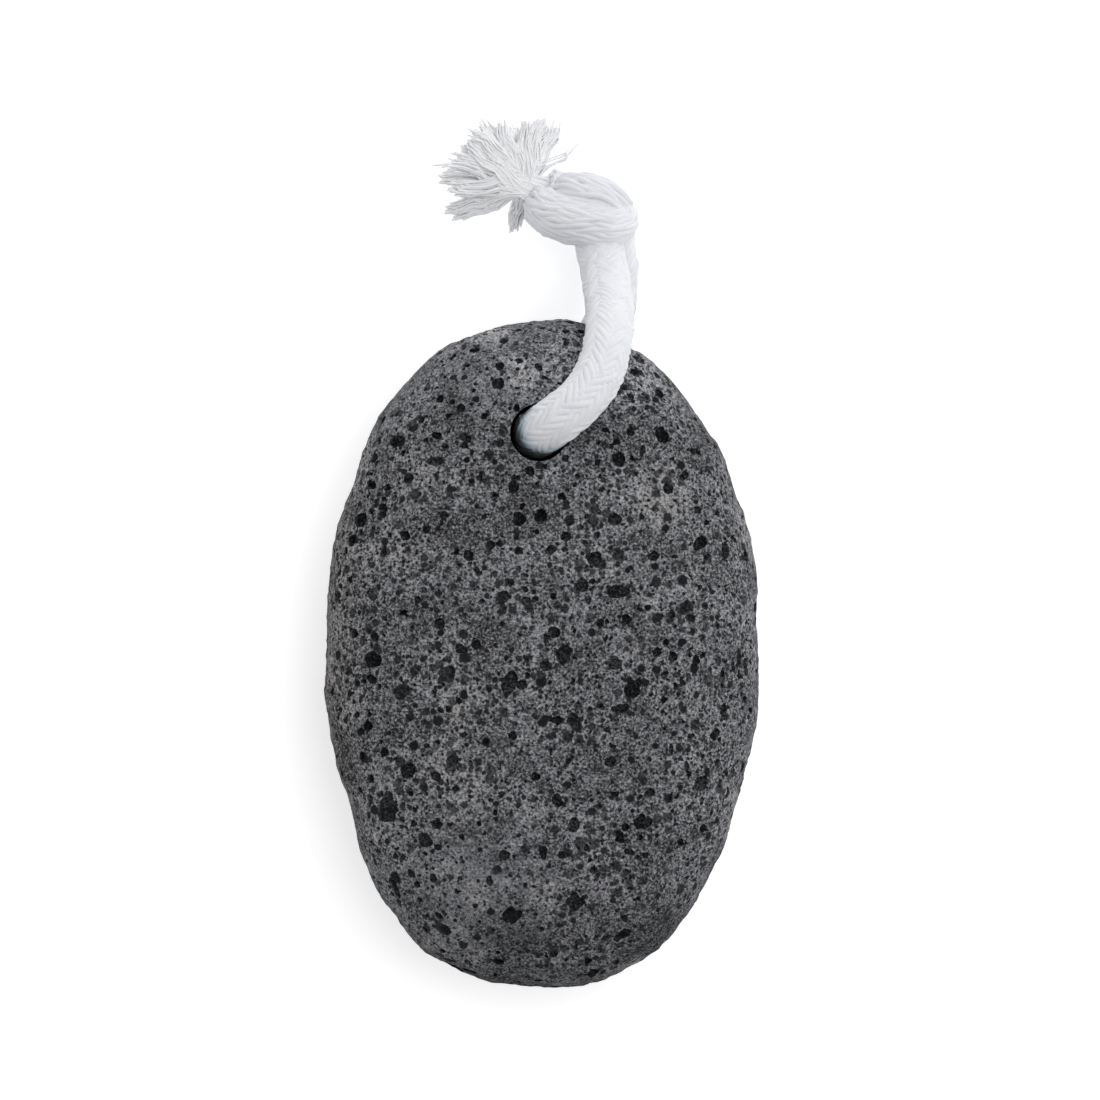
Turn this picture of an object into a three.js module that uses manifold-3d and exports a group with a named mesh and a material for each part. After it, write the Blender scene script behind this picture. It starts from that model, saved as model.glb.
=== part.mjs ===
// A bath pumice stone: an oval pebble of foamed lava on a short loop of braided cotton cord.
// The stone is one solid, full of gas pits, with a hole drilled through it near one end.
// The cord runs from its knot over the face, down the hole and back beneath the raised end.
// Both strands go into one tight knot, and the ends beyond it are frayed out to a fan.
// Units are millimetres with +Z up. The stone lies on its flat rubbed underside at z = 0.
// +Y points from the middle of the stone to its drilled end, and X runs across it.
import * as THREE from "three";
import { mergeVertices } from "three/addons/utils/BufferGeometryUtils.js";
import Module from "manifold-3d";

const wasm = await Module();
wasm.setup();

// Stone
const stoneLength = 100;
const stoneWidth = 65;
const stoneThickness = 34;
const girthHeight = 16.5; // level where the stone is widest
const outlinePower = 2.2; // 2 is an ellipse seen from above, more is squarer
const profilePower = 2.6; // the same, seen from the side
const rubbedDepth = 1.6; // worn off the underside, which leaves it flat
const bowRise = 0.55; // share of the lower half that is missing at the drilled end
const bowStart = 6;
const bowEnd = 44;
const waveHeight = 0.3;
const stoneFineness = 9; // each face of the starting icosahedron is split into this many rows, plus one

// Hole and cord
const holeDiameter = 8.6;
const holeX = -0.5;
const holeY = 33.1;
const cordDiameter = 7.4;
const cordClearance = 0.35;
const cordSides = 10;
const cordSteps = 49;
const knotCordDiameter = 6.4; // the cord is squeezed thinner in the knot
const knotRingSpacing = 1.9;

// Gas pits
const pitDepthShare = 0.8; // half depth over half width
const pitSink = 0.14; // how far a pit's middle lies under the skin, as a share of its width
const hiddenPitCount = 60;
const hiddenPitSmallest = 1.7;
const hiddenPitLargest = 3.6;
const hiddenPitTop = 0.3; // sides and underside only: the upper face has its own list
const roundPitFrom = 3.2; // wider pits are cut with a rounder tool
const sliverSize = 0.08; // edges shorter than this are closed up

const halfLength = stoneLength / 2;
const halfWidth = stoneWidth / 2;
const upperHeight = stoneThickness - girthHeight;
const lowerDepth = girthHeight + rubbedDepth;

// Swells and dents of the oval: heading from the middle and spread in degrees, and share of the radius
const outlineSwells = [
  { heading: 192, spread: 12, share: 0.008 },
  { heading: 218, spread: 16, share: -0.014 },
  { heading: 245, spread: 12, share: 0.014 },
  { heading: 287, spread: 10, share: 0.012 },
  { heading: 322, spread: 18, share: -0.014 },
  { heading: 60, spread: 14, share: -0.014 },
];

// Pits that show on the upper face: x, y, width, length, and the heading of the length in degrees
const facePits = [
  [-23.1, -23.2, 3.3, 4.5, 80],
  [-25.2, -0.8, 3.0, 3.0, 0],
  [-4.9, -4.1, 2.3, 4.2, 62],
  [4.9, -36.6, 3.0, 3.0, 0],
  [-4.6, -38.7, 2.7, 2.7, 0],
  [13.3, -5.1, 2.7, 2.8, 90],
  [15.1, -24.8, 2.3, 3.3, 10],
  [2.2, -21.5, 2.0, 2.6, 95],
  [4.6, -25.1, 2.0, 2.6, 75],
  [-19.8, -17.0, 2.7, 2.7, 0],
  [-13.3, -15.5, 2.1, 2.3, 40],
  [-23.4, -14.5, 1.8, 1.8, 0],
  [-14.1, -2.7, 2.7, 2.7, 0],
  [-15.1, 4.8, 2.0, 2.0, 0],
  [-5.8, 8.6, 1.8, 2.7, 60],
  [-3.5, 20.2, 2.3, 2.5, 90],
  [-0.2, 20.6, 2.3, 2.3, 0],
  [-21.6, 31.8, 2.2, 2.7, 170],
  [-6.6, 40.4, 2.1, 2.3, 90],
  [-15.9, 28.8, 1.7, 3.0, 5],
  [-27.3, 20.2, 2.4, 2.6, 70],
  [11.4, 29.2, 2.3, 2.3, 0],
  [10.8, 20.2, 2.0, 2.4, 0],
  [16.5, 14.8, 1.8, 1.8, 0],
  [7.6, 14.5, 2.4, 2.4, 0],
  [23.6, 16.7, 2.2, 2.8, 20],
  [27.3, 15.7, 1.5, 3.0, 90],
  [11.2, 9.5, 2.1, 3.8, 5],
  [3.1, 0.2, 2.7, 3.1, 70],
  [11.8, -7.7, 1.6, 2.4, 15],
  [10.0, -15.7, 1.8, 1.9, 0],
  [-5.6, -29.5, 1.8, 1.8, 0],
  [0.1, -29.2, 1.5, 3.4, 88],
  [-14.5, -41.1, 2.0, 2.0, 0],
  [-17.2, -27.6, 2.3, 2.3, 0],
  [-22.1, -34.8, 1.6, 3.6, 110],
  [17.8, 32.7, 2.5, 2.8, 120],
  [23.4, -19.0, 2.3, 2.7, 80],
];

// Route of the cord: out of the knot, over the face, down the hole and back along the ground
const cordRoute = [
  [8.2, 63.6, 11.2],
  [8.9, 60.2, 11.9],
  [9.5, 57.0, 14.2],
  [9.9, 53.9, 18.4],
  [10.1, 50.9, 23.3],
  [9.9, 47.7, 28.0],
  [9.2, 44.0, 31.2],
  [7.8, 40.6, 32.9],
  [5.4, 37.6, 33.9],
  [2.5, 35.2, 33.6],
  [0.5, 33.8, 31.6],
  [-0.5, 33.2, 28.0],
  [-0.8, 32.9, 20.5],
  [-0.6, 33.1, 13.5],
  [0.2, 34.4, 8.8],
  [2.2, 37.8, 5.2],
  [4.9, 42.0, 4.1],
  [8.2, 47.0, 4.0],
  [10.4, 52.0, 4.0],
  [10.9, 57.0, 4.0],
  [10.8, 60.5, 4.0],
  [10.4, 63.4, 4.0],
];

// The knot: the upper strand goes in under the wrap and rises behind it to the top,
// the lower strand turns back underneath, comes up and wraps across the front, and both ends leave to the fan
const risingTurn = [
  [8.6, 61.6, 11.5],
  [8.3, 64.4, 10.4],
  [7.4, 66.7, 7.7],
  [5.8, 68.0, 6.4],
  [4.5, 69.3, 8.4],
  [6.8, 69.2, 11.2],
  [9.0, 68.5, 11.8],
  [10.8, 66.4, 10.6],
];
const frontWrap = [
  [10.2, 67.2, 8.8],
  [11.0, 65.6, 10.8],
  [9.8, 64.8, 12.6],
  [7.0, 65.0, 13.2],
  [3.6, 65.7, 12.0],
  [1.2, 67.0, 9.2],
  [0.6, 67.6, 6.6],
  [2.6, 67.8, 4.2],
  [5.6, 67.9, 3.8],
  [8.6, 67.4, 3.9],
  [10.4, 65.6, 4.0],
  [10.5, 62.8, 4.0],
];
const tailTurn = [
  [6.4, 68.2, 5.0],
  [3.4, 69.4, 5.6],
  [0.6, 70.2, 6.2],
];

// The frayed fan: where it leaves the knot, and each lock's tip with its radius there
const fanNeck = [1.8, 69.7, 6.0];
const fanRoot = [-3.2, 71.4, 6.0];
const neckRadius = 2.3;
const rootRadius = 2.9;
const lockRootRadius = 1.25;
const lockSides = 6;
const lockTips = [
  [-9.2, 80.4, 4.0, 0.8],
  [-11.0, 77.8, 6.2, 0.8],
  [-13.4, 75.5, 4.4, 0.8],
  [-15.8, 74.6, 6.4, 0.4],
  [-15.2, 72.3, 3.4, 0.6],
  [-14.0, 70.8, 5.0, 0.7],
  [-14.6, 67.2, 2.2, 0.7],
  [-5.1, 65.4, 1.6, 0.7],
  [5.3, 77.0, 6.2, 0.4],
  [1.4, 80.4, 5.0, 0.5],
  [0.0, 81.0, 3.8, 0.5],
  [-2.6, 80.4, 5.6, 0.6],
  [-4.7, 80.0, 3.4, 0.8],
  [-6.6, 80.2, 6.0, 0.8],
];

function vectors(points) {
  return points.map((point) => new THREE.Vector3(...point));
}

// A repeatable number from 0 to 1 for each seed
function fraction(seed) {
  const value = Math.sin(seed * 12.9898) * 43758.5453;
  return value - Math.floor(value);
}

function solidOf(geometry) {
  geometry.deleteAttribute("normal");
  geometry.deleteAttribute("uv");
  const merged = mergeVertices(geometry, 1e-4);
  const mesh = new wasm.Mesh({
    numProp: 3,
    vertProperties: new Float32Array(merged.attributes.position.array),
    triVerts: new Uint32Array(merged.index.array),
  });
  return new wasm.Manifold(mesh);
}

function geometryOf(solid) {
  const mesh = solid.getMesh();
  const geometry = new THREE.BufferGeometry();
  geometry.setAttribute("position", new THREE.BufferAttribute(mesh.vertProperties, 3));
  geometry.setIndex(new THREE.BufferAttribute(mesh.triVerts, 1));
  geometry.computeVertexNormals();
  return geometry;
}

function joined(solids) {
  return solids.reduce((whole, piece) => whole.add(piece));
}

function smoothCurve(points) {
  return new THREE.CatmullRomCurve3(vectors(points), false, "centripetal");
}

// A round cord with flat ends along a smooth curve through the points
function tube(points, radius, steps) {
  const section = new THREE.Shape();
  for (let side = 0; side < cordSides; side += 1) {
    const turn = (2 * Math.PI * side) / cordSides;
    const corner = [radius * Math.cos(turn), radius * Math.sin(turn)];
    if (side === 0) section.moveTo(...corner);
    else section.lineTo(...corner);
  }
  section.closePath();
  return new THREE.ExtrudeGeometry(section, { steps, extrudePath: smoothCurve(points), bevelEnabled: false });
}

// A straight round taper from one point to another
function taper(from, to, fromRadius, toRadius, sides) {
  const start = new THREE.Vector3(...from);
  const run = new THREE.Vector3(...to).sub(start);
  const geometry = new THREE.CylinderGeometry(toRadius, fromRadius, run.length(), sides);
  geometry.translate(0, run.length() / 2, 0);
  const up = new THREE.Vector3(0, 1, 0);
  geometry.applyQuaternion(new THREE.Quaternion().setFromUnitVectors(up, run.normalize()));
  return geometry.translate(...from);
}

function outlineGrowth(x, y) {
  const heading = THREE.MathUtils.radToDeg(Math.atan2(y, x));
  let growth = 1;
  for (const swell of outlineSwells) {
    const away = THREE.MathUtils.euclideanModulo(heading - swell.heading + 180, 360) - 180;
    growth += swell.share * Math.exp(-((away / swell.spread) ** 2));
  }
  return growth;
}

// Low waves all over the skin
function waves(point) {
  const broad = Math.sin(0.31 * point.x + 0.8) * Math.cos(0.27 * point.y - 0.5);
  const narrow = Math.sin(0.52 * point.y + 1.1) * Math.cos(0.44 * point.x + 0.2 * point.z);
  return waveHeight * (broad + 0.6 * narrow);
}

// The point of the skin in a given direction, on a unit ball, from the middle of the stone
function skinPoint(u) {
  const plan = Math.abs(u.x) ** outlinePower + Math.abs(u.y) ** outlinePower;
  const reach = (plan ** (profilePower / outlinePower) + Math.abs(u.z) ** profilePower) ** (1 / profilePower);
  const growth = outlineGrowth(u.x * halfWidth, u.y * halfLength);
  const point = new THREE.Vector3(halfWidth * u.x, halfLength * u.y, 0).multiplyScalar(growth / reach);
  const bow = 1 - bowRise * THREE.MathUtils.smoothstep(point.y, bowStart, bowEnd);
  const half = u.z > 0 ? upperHeight : lowerDepth * bow;
  point.z = girthHeight + (half * u.z) / reach;
  const outward = new THREE.Vector3(u.x / halfWidth, u.y / halfLength, u.z / upperHeight).normalize();
  point.addScaledVector(outward, waves(point));
  point.z = Math.max(point.z, 0);
  return point;
}

function skinNormal(u) {
  const step = 0.01;
  const across = new THREE.Vector3(0.27, 0.53, 0.8).cross(u).normalize();
  const along = u.clone().cross(across).normalize();
  const here = skinPoint(u);
  const first = skinPoint(u.clone().addScaledVector(across, step)).sub(here);
  const second = skinPoint(u.clone().addScaledVector(along, step)).sub(here);
  return first.cross(second).normalize();
}

// The direction whose skin point lies on the upper face at x, y
function upperDirection(x, y) {
  const growth = outlineGrowth(x, y);
  const across = x / (halfWidth * growth);
  const along = y / (halfLength * growth);
  const plan = Math.abs(across) ** outlinePower + Math.abs(along) ** outlinePower;
  const lift = (1 - plan ** (profilePower / outlinePower)) ** (1 / profilePower);
  return new THREE.Vector3(across, along, lift);
}

// A gas pit: a faceted bubble let into the skin, its length turned to the heading
function pit(u, width, length, heading) {
  const bubble = new THREE.IcosahedronGeometry(1, width < roundPitFrom ? 0 : 1);
  bubble.scale(length / 2, width / 2, (pitDepthShare * width) / 2);
  const normal = skinNormal(u);
  const turn = THREE.MathUtils.degToRad(heading);
  const lengthwise = new THREE.Vector3(Math.cos(turn), Math.sin(turn), 0);
  lengthwise.addScaledVector(normal, -lengthwise.dot(normal)).normalize();
  const crosswise = normal.clone().cross(lengthwise);
  const middle = skinPoint(u).addScaledVector(normal, -pitSink * width);
  bubble.applyMatrix4(new THREE.Matrix4().makeBasis(lengthwise, crosswise, normal).setPosition(middle));
  return solidOf(bubble);
}

// The pits of the sides and the underside, spread by chance
function hiddenPits() {
  const pits = [];
  for (let index = 0; index < hiddenPitCount; index += 1) {
    const lift = -1 + (1 + hiddenPitTop) * fraction(index + 0.31);
    const turn = 2 * Math.PI * fraction(index + 57.7);
    const level = Math.sqrt(1 - lift * lift);
    const u = new THREE.Vector3(level * Math.cos(turn), level * Math.sin(turn), lift);
    const width = hiddenPitSmallest + (hiddenPitLargest - hiddenPitSmallest) * fraction(index + 211.9) ** 2;
    pits.push(pit(u, width, width * (1 + 0.4 * fraction(index + 401.3)), 360 * fraction(index + 613.1)));
  }
  return pits;
}

function stoneSolid() {
  const skin = new THREE.IcosahedronGeometry(1, stoneFineness);
  const position = skin.attributes.position;
  for (let index = 0; index < position.count; index += 1) {
    const point = skinPoint(new THREE.Vector3().fromBufferAttribute(position, index));
    position.setXYZ(index, ...point);
  }
  const drill = new THREE.CylinderGeometry(holeDiameter / 2, holeDiameter / 2, 2 * stoneThickness, 28);
  drill.rotateX(Math.PI / 2);
  drill.translate(holeX, holeY, girthHeight);
  const seat = tube(cordRoute, cordDiameter / 2 + cordClearance, cordSteps);
  const shown = facePits.map(([x, y, width, length, heading]) => pit(upperDirection(x, y), width, length, heading));
  const cuts = joined([...shown, ...hiddenPits(), solidOf(drill), solidOf(seat)]);
  return solidOf(skin).subtract(cuts).simplify(sliverSize);
}

function knotSolid(fan) {
  const coils = [risingTurn, frontWrap, tailTurn].map((turn) => {
    const rings = Math.round(smoothCurve(turn).getLength() / knotRingSpacing);
    return solidOf(tube(turn, knotCordDiameter / 2, rings));
  });
  const socket = solidOf(tube(cordRoute, cordDiameter / 2 + cordClearance, cordSteps));
  return joined(coils).subtract(socket).subtract(fan).simplify(sliverSize);
}

function fanSolid(clearance) {
  const neck = solidOf(taper(fanNeck, fanRoot, neckRadius + clearance, rootRadius + clearance, cordSides));
  const locks = lockTips.map(([x, y, z, radius]) =>
    solidOf(taper(fanRoot, [x, y, z], lockRootRadius + clearance, radius + clearance, lockSides)),
  );
  return joined([neck, ...locks]).simplify(sliverSize);
}

const lava = new THREE.MeshStandardMaterial({ color: 0x525356, roughness: 0.95, metalness: 0 });
const cotton = new THREE.MeshStandardMaterial({ color: 0xe3e5e9, roughness: 0.9, metalness: 0 });

const pumiceStone = new THREE.Group();

function addPiece(name, geometry, material) {
  const piece = new THREE.Mesh(geometry, material);
  piece.name = name;
  pumiceStone.add(piece);
}

addPiece("stone", geometryOf(stoneSolid()), lava);
addPiece("cord", tube(cordRoute, cordDiameter / 2, cordSteps), cotton);
addPiece("knot", geometryOf(knotSolid(fanSolid(cordClearance))), cotton);
addPiece("frayed_ends", geometryOf(fanSolid(0)), cotton);

export default pumiceStone;
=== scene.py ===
import math
import bmesh
import bpy
import numpy as np
from mathutils import Matrix, Vector, noise
from mathutils.bvhtree import BVHTree


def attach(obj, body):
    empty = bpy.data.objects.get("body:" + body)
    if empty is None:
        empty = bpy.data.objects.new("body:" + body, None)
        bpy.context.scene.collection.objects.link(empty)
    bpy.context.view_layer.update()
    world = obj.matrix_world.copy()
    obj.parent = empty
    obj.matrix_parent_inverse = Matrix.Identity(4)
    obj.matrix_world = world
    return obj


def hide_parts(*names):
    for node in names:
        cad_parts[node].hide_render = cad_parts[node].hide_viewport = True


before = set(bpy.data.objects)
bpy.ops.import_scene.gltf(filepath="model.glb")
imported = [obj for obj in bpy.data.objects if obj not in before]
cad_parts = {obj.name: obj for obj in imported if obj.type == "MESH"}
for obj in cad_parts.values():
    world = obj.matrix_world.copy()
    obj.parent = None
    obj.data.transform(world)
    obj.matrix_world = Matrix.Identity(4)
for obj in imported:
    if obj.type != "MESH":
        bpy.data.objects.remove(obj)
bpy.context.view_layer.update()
mm = 0.001
print("frame loaded:", sorted(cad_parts))

# small helpers for node trees


def newTree(name, sockets):
    tree = bpy.data.node_groups.new(name, "GeometryNodeTree")
    tree.interface.new_socket("Geometry", in_out="INPUT", socket_type="NodeSocketGeometry")
    for socketName, kind in sockets:
        tree.interface.new_socket(socketName, in_out="INPUT", socket_type="NodeSocket" + kind)
    tree.interface.new_socket("Geometry", in_out="OUTPUT", socket_type="NodeSocketGeometry")
    return tree, tree.nodes.new("NodeGroupInput").outputs


def put(tree, kind, values=None, **settings):
    node = tree.nodes.new(kind)
    for key, value in settings.items():
        setattr(node, key, value)
    for key, value in (values or {}).items():
        socket = node.inputs[key] if isinstance(key, int) else next(
            s for s in node.inputs if s.name == key and s.enabled)
        if isinstance(value, bpy.types.NodeSocket):
            tree.links.new(value, socket)
        else:
            socket.default_value = value
    return node


def out(node, name=None):  # the first live output, or the live one of that name
    return next(s for s in node.outputs if s.enabled and name in (None, s.name))


def calc(tree, operation, *terms):
    node = put(tree, "ShaderNodeMath", dict(enumerate(terms)), operation=operation)
    return node.outputs[0]


def vecCalc(tree, operation, *terms):
    node = put(tree, "ShaderNodeVectorMath", dict(enumerate(terms)), operation=operation)
    return node.outputs[0]


def stretched(tree, vector, factor):
    return out(put(tree, "ShaderNodeVectorMath", {0: vector, "Scale": factor}, operation="SCALE"))


def ramp(tree, value, low, high, toLow=0.0, toHigh=1.0, form="SMOOTHSTEP"):
    node = put(tree, "ShaderNodeMapRange", {"Value": value, "From Min": low, "From Max": high,
                                            "To Min": toLow, "To Max": toHigh}, interpolation_type=form)
    return node.outputs[0]


def cloudy(tree, place, size, detail, roughness=0.5):  # noise with features of about that many millimetres
    return put(tree, "ShaderNodeTexNoise", {"Vector": place, "Scale": 1 / (size * mm), "Detail": detail,
                                            "Roughness": roughness})


def noiseShift(tree, place, scale, detail, amount):  # pushes by noise, as much to any side
    node = put(tree, "ShaderNodeTexNoise", {"Vector": place, "Scale": scale, "Detail": detail})
    return stretched(tree, vecCalc(tree, "SUBTRACT", out(node, "Color"), (0.5, 0.5, 0.5)), amount)


def chanceOf(tree, form, low, high, seed, **more):  # a random value from low to high
    values = {"Min": low, "Max": high, "Seed": seed, **more}
    return out(put(tree, "FunctionNodeRandomValue", values, data_type=form))


def tubed(tree, curve, sides, radius):  # a round tube along a curve, closed at both ends
    section = put(tree, "GeometryNodeCurvePrimitiveCircle", {"Resolution": sides, "Radius": radius})
    return out(put(tree, "GeometryNodeCurveToMesh",
                   {"Curve": curve, "Profile Curve": out(section), "Fill Caps": True}))


def endTree(tree, geometry, material):
    real = put(tree, "GeometryNodeRealizeInstances", {"Geometry": geometry})
    painted = put(tree, "GeometryNodeSetMaterial", {"Geometry": out(real), "Material": material})
    put(tree, "NodeGroupOutput", {0: out(painted)})
    return tree


def baked(name, mesh, tree, values):  # runs a node tree on a mesh
    host = bpy.data.objects.new(name, mesh)
    bpy.context.scene.collection.objects.link(host)
    modifier = host.modifiers.new(tree.name, "NODES")
    modifier.node_group = tree
    for item in tree.interface.items_tree:
        if item.in_out == "INPUT" and item.name in values:
            modifier[item.identifier] = values[item.name]
    return plainMesh(host)


def plainMesh(host):  # turns what the modifiers give into the object's own mesh
    graph = bpy.context.evaluated_depsgraph_get()
    made = bpy.data.meshes.new_from_object(host.evaluated_get(graph), depsgraph=graph)
    host.modifiers.clear()
    host.data = made
    made.name = host.name
    return host


def lineMesh(name, lines):
    points, edges = [], []
    for line in lines:
        edges += [(len(points) + i, len(points) + i + 1) for i in range(len(line) - 1)]
        points += [tuple(p) for p in line]
    mesh = bpy.data.meshes.new(name)
    mesh.from_pydata(points, edges, [])
    return mesh


def smoothLine(points, step=0.5):  # centripetal curve through given points, in millimetres, out in metres
    knots = np.array(points, dtype=float)
    knots = np.vstack([2 * knots[0] - knots[1], knots, 2 * knots[-1] - knots[-2]])
    line = []
    for p0, p1, p2, p3 in zip(knots, knots[1:], knots[2:], knots[3:]):
        t1 = np.linalg.norm(p1 - p0) ** 0.5
        t2 = t1 + np.linalg.norm(p2 - p1) ** 0.5
        t3 = t2 + np.linalg.norm(p3 - p2) ** 0.5
        count = max(2, int(np.linalg.norm(p2 - p1) / step))
        for t in np.linspace(t1, t2, count, endpoint=False):
            a1 = (t1 - t) / t1 * p0 + t / t1 * p1
            a2 = (t2 - t) / (t2 - t1) * p1 + (t - t1) / (t2 - t1) * p2
            a3 = (t3 - t) / (t3 - t2) * p2 + (t - t2) / (t3 - t2) * p3
            b1 = (t2 - t) / t2 * a1 + t / t2 * a2
            b2 = (t3 - t) / (t3 - t1) * a2 + (t - t1) / (t3 - t1) * a3
            line.append((t2 - t) / (t2 - t1) * b1 + (t - t1) / (t2 - t1) * b2)
    line.append(knots[-2])
    return np.array(line) * mm


# camera, floor and light
view = {
    "frameWidth": 165.66,  # millimetres across the picture at the stone's widest level
    "middle": (1.13, 15.66),
    "level": 16.5,
    "distance": 1000.0,
    "sensor": 36.0,
}
camera = bpy.data.objects.new("camera", bpy.data.cameras.new("camera"))
camera.location = (view["middle"][0] * mm, view["middle"][1] * mm, view["distance"] * mm)
camera.data.sensor_width = view["sensor"]
camera.data.lens = view["sensor"] * (view["distance"] - view["level"]) / view["frameWidth"]
camera.data.clip_start = 0.01
bpy.context.scene.collection.objects.link(camera)
bpy.context.scene.camera = camera

studio = {
    "floorColour": (0.88, 0.88, 0.885, 1.0),
    "floorGlow": 0.52,
    "glowFrom": (0.80, 1.0),  # where the paper starts and stops getting brighter, as shares of this half size
    "stoneHalfSize": (32.5, 50.0),
    "floorReach": 3.0,
    "paperRoughness": 0.9,
    "paperShine": 0.1,
    "worldColour": (1.0, 1.0, 1.0, 1.0),
    "worldStrength": 0.50,
    "lamps": [  # name, place, size and power
        ("key", (0.35, 0.75, 0.50), 0.7, 2.4),
        ("front", (0.36, 0.12, 1.2), 0.6, 3.9),
    ],
}
floorMesh = bpy.data.meshes.new("floor")
floorCorners = [(x * studio["floorReach"], y * studio["floorReach"], 0.0)
                for x, y in ((-1, -1), (1, -1), (1, 1), (-1, 1))]
floorMesh.from_pydata(floorCorners, [], [(0, 1, 2, 3)])
floor = bpy.data.objects.new("floor", floorMesh)
bpy.context.scene.collection.objects.link(floor)
paper = bpy.data.materials.new("paper")
paper.use_nodes = True
paperShader = paper.node_tree.nodes["Principled BSDF"]
paperShader.inputs["Base Color"].default_value = studio["floorColour"]
paperShader.inputs["Roughness"].default_value = studio["paperRoughness"]
paperShader.inputs["Specular IOR Level"].default_value = studio["paperShine"]
floorMesh.materials.append(paper)


def glowAround(tree, shader):  # the paper is lit from within, except under the stone
    halfWidth, halfLength = studio["stoneHalfSize"]
    place = out(put(tree, "ShaderNodeTexCoord"), "Object")
    shares = vecCalc(tree, "MULTIPLY", place, (1 / (halfWidth * mm), 1 / (halfLength * mm), 0.0))
    away = put(tree, "ShaderNodeVectorMath", {0: shares}, operation="LENGTH").outputs["Value"]
    near, far = studio["glowFrom"]
    glow = ramp(tree, away, near, far, 0.0, studio["floorGlow"], "LINEAR")
    tree.links.new(glow, shader.inputs["Emission Strength"])
    shader.inputs["Emission Color"].default_value = studio["worldColour"]


glowAround(paper.node_tree, paperShader)

world = bpy.data.worlds.new("studio")
world.use_nodes = True
world.node_tree.nodes["Background"].inputs["Color"].default_value = studio["worldColour"]
world.node_tree.nodes["Background"].inputs["Strength"].default_value = studio["worldStrength"]
bpy.context.scene.world = world
for lampName, lampPlace, lampSize, lampPower in studio["lamps"]:
    lamp = bpy.data.objects.new(lampName, bpy.data.lights.new(lampName, "AREA"))
    lamp.data.size = lampSize
    lamp.data.energy = lampPower
    lamp.location = lampPlace
    lamp.rotation_euler = (-Vector(lampPlace)).to_track_quat("-Z", "Y").to_euler()
    bpy.context.scene.collection.objects.link(lamp)
bpy.context.scene.view_settings.view_transform = "Standard"
print("camera, floor and light ready")

# materials
lavaLook = {
    "grainStops": [  # fine sugary grain, from its dark to its light specks
        (0.38, (0.022, 0.023, 0.025, 1.0)),
        (0.445, (0.074, 0.075, 0.080, 1.0)),
        (0.50, (0.186, 0.188, 0.201, 1.0)),
        (0.555, (0.312, 0.315, 0.334, 1.0)),
        (0.62, (0.530, 0.533, 0.556, 1.0)),
    ],
    "pitShadeStops": [  # the same grain down in the pits, darkened as painted shade
        (0.40, (0.007, 0.009, 0.010, 1.0)),
        (0.51, (0.027, 0.032, 0.035, 1.0)),
        (0.62, (0.125, 0.132, 0.138, 1.0)),
    ],
    # painted shade of the small pores
    "poreShade": (0.013, 0.016, 0.018, 1.0),
    "warmTint": (1.0, 0.93, 0.86, 1.0),
    "patchSize": 9.0,  # sizes in millimetres
    "mottleSize": 1.5,
    "grainSize": 0.40,
    "poreSizes": [1.9, 1.15, 0.66],
    "poreWarp": 0.5,
    "poreReach": (0.54, 0.04),  # chance part and least part of a pore's width, as shares of its cell
    "poreEdge": 0.68,
    "poreDepth": (0.35, 0.65),  # chance part and least part of how dark a pore is
    "porePatches": (0.36, 0.56, 0.6, 1.0),  # pores are smaller where the patch noise is low
    "poreWear": (0.3, 0.7),  # what rough skin adds, and what worn skin has, of the pores' width
    "grainWear": (0.38, 0.62),  # the same for the grain's contrast
    "mottleShare": 0.18,
    "patchShare": 0.26,
    "toneDrop": (-0.014, 0.234),  # what rough skin and all skin take off the tone
    "bumpHeight": 0.25,
    "toneRelief": 1.6,
    "roughness": 0.95,
    "shine": 0.05,
    "warmRim": (-25.0, -32.0, 0.8),  # from where to where the stone turns warmer towards one long side
    "warmPatches": (0.60, 0.72, 0.5),  # from which to which patch noise it is warmer too
    "raggedRim": 3.0,  # how much the grain breaks up the rims of the pits
    "rimFade": 0.25,
    "pitShadeFrom": (0.12, 0.75),  # depth in a pit at which its painted shade starts and is full
    "wornPlaces": [  # smoothest parts and their reach
        ((-9.0, -34.0, 30.0), 15.0),
        ((-9.0, 44.0, 27.0), 14.0),
    ],
    "wornCore": 0.4,  # share of the reach that is fully worn
    "girthWear": (16.5, 3.0, 11.0),  # height of the girth, and how far from it the skin is rubbed smooth
    "paintedLightEnd": (34.0, 44.0, 1.28),  # painted light: from where to where along the stone it gets paler, and how much
    # painted shade: from where to where along the stone it gets darker, and how much
    "paintedShadeEnd": (-26.0, -48.0, 0.66),
}


def shaderBase(name):
    material = bpy.data.materials.new(name)
    material.use_nodes = True
    return material, material.node_tree, material.node_tree.nodes["Principled BSDF"]


def blendColour(tree, factor, first, second, mode="MIX"):
    node = put(tree, "ShaderNodeMix", {0: factor, 6: first, 7: second}, data_type="RGBA", blend_type=mode)
    return node.outputs[2]


def colourStops(tree, value, stops):
    node = put(tree, "ShaderNodeValToRGB", {"Fac": value})
    points = node.color_ramp.elements
    while len(points) < len(stops):
        points.new(0.5)
    for point, (place, colour) in zip(points, stops):
        point.position = place
        point.color = colour
    return node.outputs[0]


def poreCells(tree, place, size, busy):  # painted shade of small pores: dark spots, one to a cell, each of a chance width and depth
    cells = put(tree, "ShaderNodeTexVoronoi", {"Vector": place, "Scale": 1 / (size * mm)})
    chance = put(tree, "ShaderNodeSeparateColor", {0: out(cells, "Color")}).outputs
    reach = calc(tree, "MULTIPLY", busy, calc(tree, "MULTIPLY_ADD", chance[0], *lavaLook["poreReach"]))
    spot = ramp(tree, out(cells, "Distance"), reach, calc(tree, "MULTIPLY", reach, lavaLook["poreEdge"]))
    return calc(tree, "MULTIPLY", spot, calc(tree, "MULTIPLY_ADD", chance[1], *lavaLook["poreDepth"]))


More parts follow.
